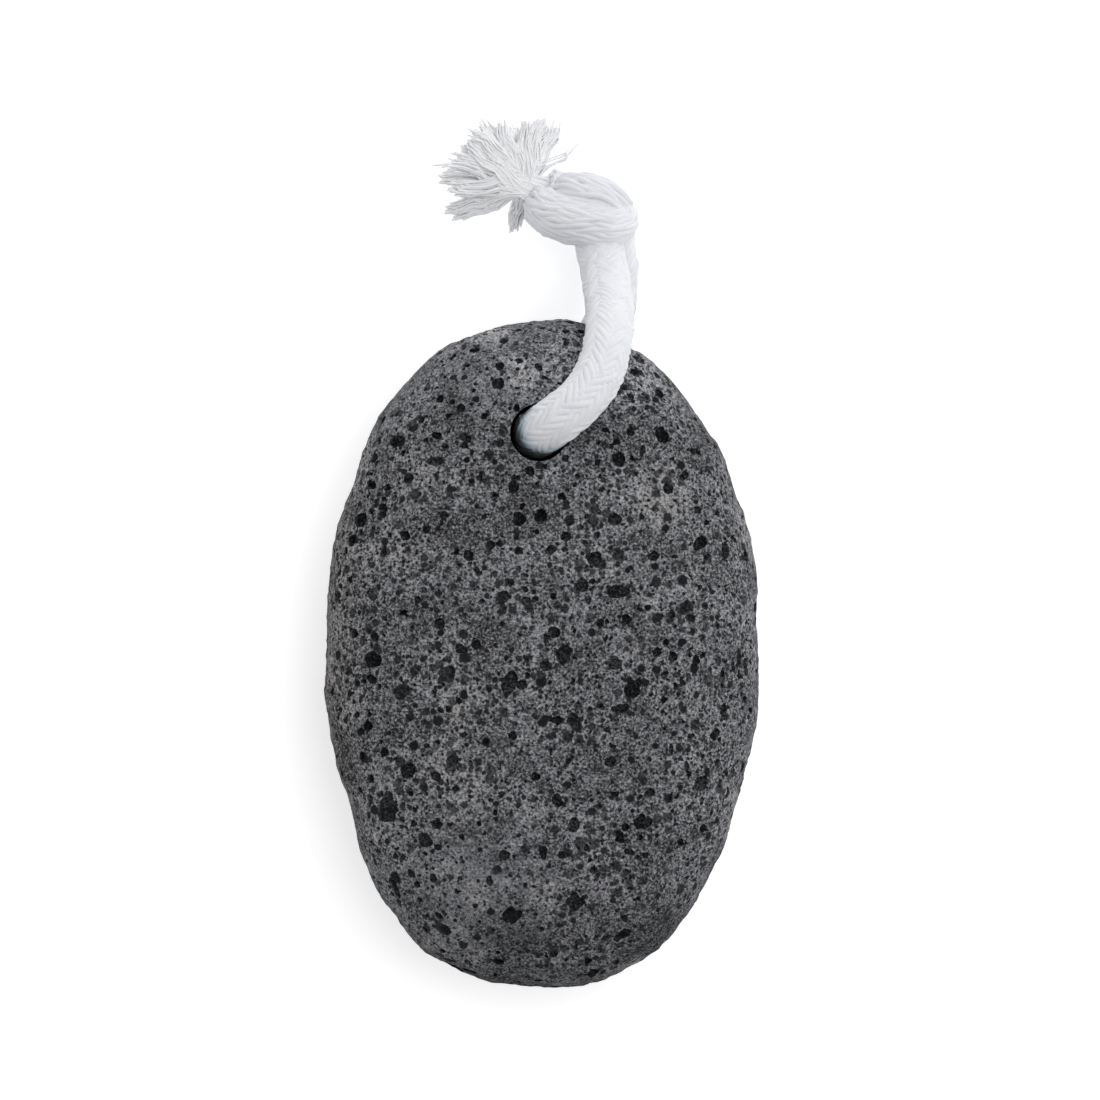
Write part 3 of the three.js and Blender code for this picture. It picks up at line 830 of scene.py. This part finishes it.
finerPits = [  # the same, for pits of the second size
    (-3.5, 15.5, 1.5, 1.5, 0), (13.0, 38.4, 1.4, 1.4, 0), (13.0, 33.1, 1.5, 1.5, 0),
    (-28.2, 3.2, 1.7, 1.7, 0), (11.2, -42.2, 1.4, 1.4, 0), (-23.6, 15.2, 1.5, 1.5, 0),
    (-10.9, 14.8, 1.8, 1.8, 0), (0.6, -1.5, 1.7, 1.7, 0), (-2.4, 8.0, 1.7, 1.7, 0),
    (-4.4, -11.8, 1.5, 1.5, 0), (-9.8, 1.7, 1.7, 1.7, 0), (-7.6, 16.4, 1.6, 1.6, 0),
    (21.1, 26.8, 1.4, 1.4, 0), (4.0, 20.0, 1.7, 1.7, 0), (3.4, 17.7, 1.8, 1.8, 0),
    (30.2, 14.8, 1.4, 2.2, 90), (19.4, -0.2, 1.7, 1.7, 0), (22.7, -0.7, 1.8, 1.8, 0),
    (1.7, 3.5, 2.0, 2.0, 0), (12.5, 5.5, 1.7, 1.7, 0), (19.1, 6.1, 1.4, 1.4, 0),
    (21.9, 5.6, 1.4, 1.4, 0), (29.4, -0.3, 1.3, 3.0, 90), (2.0, -9.5, 2.1, 2.1, 0),
    (12.3, -25.4, 1.5, 1.5, 0), (19.1, -13.9, 0.9, 2.2, 90), (21.3, -16.5, 0.9, 2.1, 90),
    (27.1, -8.9, 1.0, 2.0, 90), (27.6, -20.6, 1.2, 2.2, 90), (-22.9, -20.9, 1.8, 1.8, 0),
    (-22.0, -33.2, 2.0, 2.0, 0), (-7.8, -33.4, 1.2, 1.8, 90), (-16.3, -33.2, 1.5, 1.5, 0),
    (-25.2, 25.4, 1.4, 1.4, 0), (-9.4, 26.4, 1.4, 1.4, 0), (-4.3, 25.2, 2.0, 2.0, 0),
    (-17.2, 18.7, 1.4, 1.4, 0), (-18.1, 35.1, 1.4, 1.4, 0), (-12.1, 36.8, 1.4, 1.4, 0),
]
shallowPits = [  # the same, for pits that are only dents
    (11.1, 14.9, 2.4, 2.4, 0), (-28.2, 13.6, 1.8, 1.8, 0), (-19.7, -9.2, 1.7, 1.7, 0),
    (-20.9, -5.3, 2.7, 2.7, 0), (5.7, 10.3, 2.3, 2.3, 0), (10.7, -1.0, 2.3, 2.3, 0),
    (4.5, -9.4, 2.1, 2.1, 0), (-2.6, -28.6, 1.8, 1.8, 0), (-6.8, -31.9, 2.0, 2.0, 0),
    (-11.8, 32.6, 1.7, 1.7, 0),
]


def fraction(seed):  # a repeatable chance number from 0 to 1
    value = math.sin(seed * 12.9898) * 43758.5453
    return value - math.floor(value)


def hiddenPits():  # direction, width, length, heading and sink of the pits on the sides and underneath
    pits = []
    for i in range(pitSpec["hiddenCount"]):
        lift = -1 + (1 + pitSpec["hiddenTop"]) * fraction(i + 0.31)
        turn = 2 * math.pi * fraction(i + 57.7)
        level = math.sqrt(1 - lift * lift)
        u = np.array([level * math.cos(turn), level * math.sin(turn), lift])
        spread = pitSpec["hiddenLargest"] - pitSpec["hiddenSmallest"]
        width = pitSpec["hiddenSmallest"] + spread * fraction(i + 211.9) ** 2
        length = width * (1 + pitSpec["hiddenStretch"] * fraction(i + 401.3))
        pits.append((u, width, length, 360 * fraction(i + 613.1), pitSpec["sink"]))
    return pits


def pitFrame(u):  # place and outward direction of the skin in direction u
    step = 0.01
    across = np.cross(sideHint, u)
    across /= np.linalg.norm(across)
    along = np.cross(u, across)
    along /= np.linalg.norm(along)
    here, first, second = skinPoints(np.array([u, u + across * step, u + along * step]))[0]
    normal = np.cross(first - here, second - here)
    return here, normal / np.linalg.norm(normal)


def bubbleMesh(pits):  # pits that don't touch each other, as one mesh of closed bubbles
    shape = bmesh.new()
    for u, width, length, heading, sink in pits:
        here, normal = pitFrame(u)
        turn = math.radians(heading)
        lengthwise = np.array([math.cos(turn), math.sin(turn), 0.0])
        lengthwise -= normal * lengthwise.dot(normal)
        lengthwise /= np.linalg.norm(lengthwise)
        crosswise = np.cross(normal, lengthwise)
        middle = here - normal * sink * width
        turnMatrix = Matrix((lengthwise, crosswise, normal)).transposed().to_4x4()
        size = Matrix.Diagonal((length / 2, width / 2, pitSpec["depthShare"] * width / 2, 1.0))
        rows = 3 if width > pitSpec["roundFrom"] else 2
        made = bmesh.ops.create_icosphere(shape, subdivisions=rows, radius=1.0)["verts"]
        for vertex in made:
            vertex.co = Matrix.Translation(Vector(middle)) @ turnMatrix @ size @ vertex.co
            uneven = noise.noise_vector(vertex.co / (pitSpec["raggedSize"] * width))
            vertex.co = (vertex.co + uneven * pitSpec["ragged"] * width) * mm
    mesh = bpy.data.meshes.new("bubbles")
    shape.to_mesh(mesh)
    shape.free()
    return mesh


def apartGroups(pits):  # so that no two bubbles of a group overlap
    groups = []
    for pit in pits:
        here = pitFrame(pit[0])[0]
        for group in groups:
            if all(np.linalg.norm(here - other) > pitSpec["apart"] * (pit[2] + size)
                   for other, size, _ in group):
                group.append((here, pit[2], pit))
                break
        else:
            groups.append([(here, pit[2], pit)])
    return [[pit for _, _, pit in group] for group in groups]


vesicleRounds = [  # spacing, pits per square centimetre, widths, facets round and down each bubble
    dict(spacing=3.2, density=3.0, smallest=1.25, largest=2.0, segments=8, rings=5, seed=11),
    dict(spacing=2.1, density=10.0, smallest=0.85, largest=1.35, segments=6, rings=4, seed=23),
    dict(spacing=1.45, density=19.0, smallest=0.58, largest=0.92, segments=5, rings=3, seed=31),
]
perSquareCm = 1e4
vesicleSpec = {
    "patchSize": 13.0,
    "patchTones": (0.36, 0.58),  # patch noise between which the vesicles go from sparse to crowded
    "sparse": 0.22,
    "undersideFacing": (-0.85, -0.35),
    "undersideShare": 0.3,  # the rubbed underside is smoother
    "widthPower": 1.8,  # above 1, small ones are commoner
    "halfWidths": (0.42, 0.60),
    "sinks": (-0.30, 0.04),  # how deep their middles lie, as shares of their widths
    "ragged": 0.45,
    "raggedScale": 2.2,
}


def vesicleTree():
    spec = vesicleSpec
    tree, given = newTree("vesicles", [
        ("Spacing", "Float"), ("Density", "Float"), ("Smallest", "Float"), ("Largest", "Float"),
        ("Segments", "Int"), ("Rings", "Int"), ("Patch Size", "Float"), ("Ragged", "Float"), ("Seed", "Int"),
        ("Material", "Material")])
    place = out(put(tree, "GeometryNodeInputPosition"))
    patch = out(put(tree, "ShaderNodeTexNoise", {"Vector": place, "Detail": 2.0,
                                                 "Scale": calc(tree, "DIVIDE", 1.0, given["Patch Size"])}))
    crowd = ramp(tree, patch, *spec["patchTones"], spec["sparse"], 1.0, "LINEAR")
    normal = out(put(tree, "GeometryNodeInputNormal"), "Normal")
    facing = put(tree, "ShaderNodeSeparateXYZ", {0: normal}).outputs[2]
    worn = ramp(tree, facing, *spec["undersideFacing"], spec["undersideShare"], 1.0, "LINEAR")
    share = calc(tree, "MULTIPLY", crowd, worn)
    spots = put(tree, "GeometryNodeDistributePointsOnFaces", distribute_method="POISSON")
    for socketName, value in (("Mesh", given["Geometry"]), ("Distance Min", given["Spacing"]),
                              ("Density Max", given["Density"]), ("Density Factor", share),
                              ("Seed", given["Seed"])):
        tree.links.new(value, spots.inputs[socketName])
    seeds = [calc(tree, "ADD", given["Seed"], float(n)) for n in range(1, 4)]
    chance = chanceOf(tree, "FLOAT", 0.0, 1.0, given["Seed"])
    reach = calc(tree, "SUBTRACT", given["Largest"], given["Smallest"])
    grown = calc(tree, "MULTIPLY", reach, calc(tree, "POWER", chance, spec["widthPower"]))
    width = calc(tree, "ADD", given["Smallest"], grown)
    least, most = spec["halfWidths"]
    shape = chanceOf(tree, "FLOAT_VECTOR", (least,) * 3, (most,) * 3, seeds[0])
    spin = chanceOf(tree, "FLOAT_VECTOR", (0, 0, 0), (2 * math.pi,) * 3, seeds[1])
    sink = chanceOf(tree, "FLOAT", *spec["sinks"], seeds[2])
    sunk = put(tree, "GeometryNodeSetPosition", {
        "Geometry": out(spots, "Points"),
        "Offset": stretched(tree, out(spots, "Normal"), calc(tree, "MULTIPLY", sink, width))})
    ball = put(tree, "GeometryNodeMeshUVSphere",
               {"Radius": 1.0, "Segments": given["Segments"], "Rings": given["Rings"]})
    bubbles = put(tree, "GeometryNodeInstanceOnPoints", {
        "Points": out(sunk), "Instance": out(ball, "Mesh"), "Rotation": spin,
        "Scale": stretched(tree, shape, width)})
    loose = out(put(tree, "GeometryNodeRealizeInstances", {"Geometry": out(bubbles)}))
    shove = noiseShift(tree, place, calc(tree, "DIVIDE", spec["raggedScale"], given["Largest"]), 0.0,
                       calc(tree, "MULTIPLY", given["Ragged"], given["Largest"]))
    uneven = put(tree, "GeometryNodeSetPosition", {"Geometry": loose, "Offset": shove})
    return endTree(tree, out(uneven), given["Material"])


def chipsRemoved(piece):  # takes out bits of wall that the bubbles cut free
    shape = bmesh.new()
    shape.from_mesh(piece.data)
    left = set(shape.verts)
    bodies = []
    while left:
        body = [left.pop()]
        for vertex in body:
            near = {edge.other_vert(vertex) for edge in vertex.link_edges} & left
            left -= near
            body += near
        bodies.append(body)
    bodies.sort(key=len)
    chips = [vertex for body in bodies[:-1] for vertex in body]
    bmesh.ops.delete(shape, geom=chips, context="VERTS")
    shape.to_mesh(piece.data)
    shape.free()
    print("loose chips removed:", len(bodies) - 1)


def hollowDepth(stone, skin):  # how far each point lies under the uncut skin, for the painted shade in the pits
    reach = pitSpec["darkFrom"] * mm
    shape = bmesh.new()
    shape.from_mesh(skin)
    bmesh.ops.triangulate(shape, faces=shape.faces)
    tree = BVHTree.FromBMesh(shape)
    depths = [min(tree.find_nearest(v.co)[3] / reach, 1.0) for v in stone.data.vertices]
    shape.free()
    stone.data.attributes.new("hollow", "FLOAT", "POINT").data.foreach_set("value", depths)


def makeStone():
    skin = rawStone()
    stone = bpy.data.objects.new("pumice_stone", skin.copy())
    bpy.context.scene.collection.objects.link(stone)
    hx, hy = holeSpec["place"]
    drillLine = np.array([(hx, hy, z) for z in holeSpec["levels"]]) * mm
    carved(stone, ringTube(drillLine, holeSpec["diameter"] / 2 * mm, holeSpec["sides"]))
    channelRadius = cordSpec["diameter"] / 2 + cordSpec["clearance"]
    carved(stone, ringTube(cordLine[::2], channelRadius * mm, cordSpec["channelSides"]))
    noise.seed_set(pitSpec["seed"])  # the rims come out the same each time
    listed = hiddenPits()
    for pits, sink in ((facePits, "sink"), (finerPits, "sink"), (shallowPits, "shallowSink")):
        listed += [(upperDirection(x, y), w, l, h, pitSpec[sink]) for x, y, w, l, h in pits]
    for group in apartGroups(listed):
        carved(stone, bubbleMesh(group))
    print("stone drilled and main pits cut:", len(stone.data.polygons), "faces")
    vesicles = vesicleTree()
    for spec in vesicleRounds:
        bubbles = baked("bubbles", skin.copy(), vesicles, {
            "Spacing": spec["spacing"] * mm, "Density": spec["density"] * perSquareCm,
            "Smallest": spec["smallest"] * mm, "Largest": spec["largest"] * mm,
            "Segments": spec["segments"], "Rings": spec["rings"], "Seed": spec["seed"],
            "Patch Size": vesicleSpec["patchSize"] * mm, "Ragged": vesicleSpec["ragged"], "Material": lava})
        count = len(bubbles.data.polygons) // (spec["segments"] * spec["rings"])
        carved(stone, bubbles.data)
        bpy.data.objects.remove(bubbles)
        widths = f"{spec['smallest']} to {spec['largest']} mm"
        print(count, "pits of", widths, "cut:", len(stone.data.polygons), "faces")
    chipsRemoved(stone)
    hollowDepth(stone, skin)
    stone.data.materials.clear()
    stone.data.materials.append(lava)
    stone.data.polygons.foreach_set("use_smooth", [True] * len(stone.data.polygons))
    stone.data.set_sharp_from_angle(angle=math.radians(stoneSpec["sharpFrom"]))
    stone.data.calc_loop_triangles()
    print("stone finished:", len(stone.data.loop_triangles), "triangles")
    return stone


stone = makeStone()

# what each piece stands for
for piece, node, slotName in ((stone, "stone", "lava"), (cord, "cord", "cotton"),
                              (knot, "knot", "cotton"), (fan, "frayed_ends", "cotton")):
    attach(piece, "root")
    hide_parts(node)
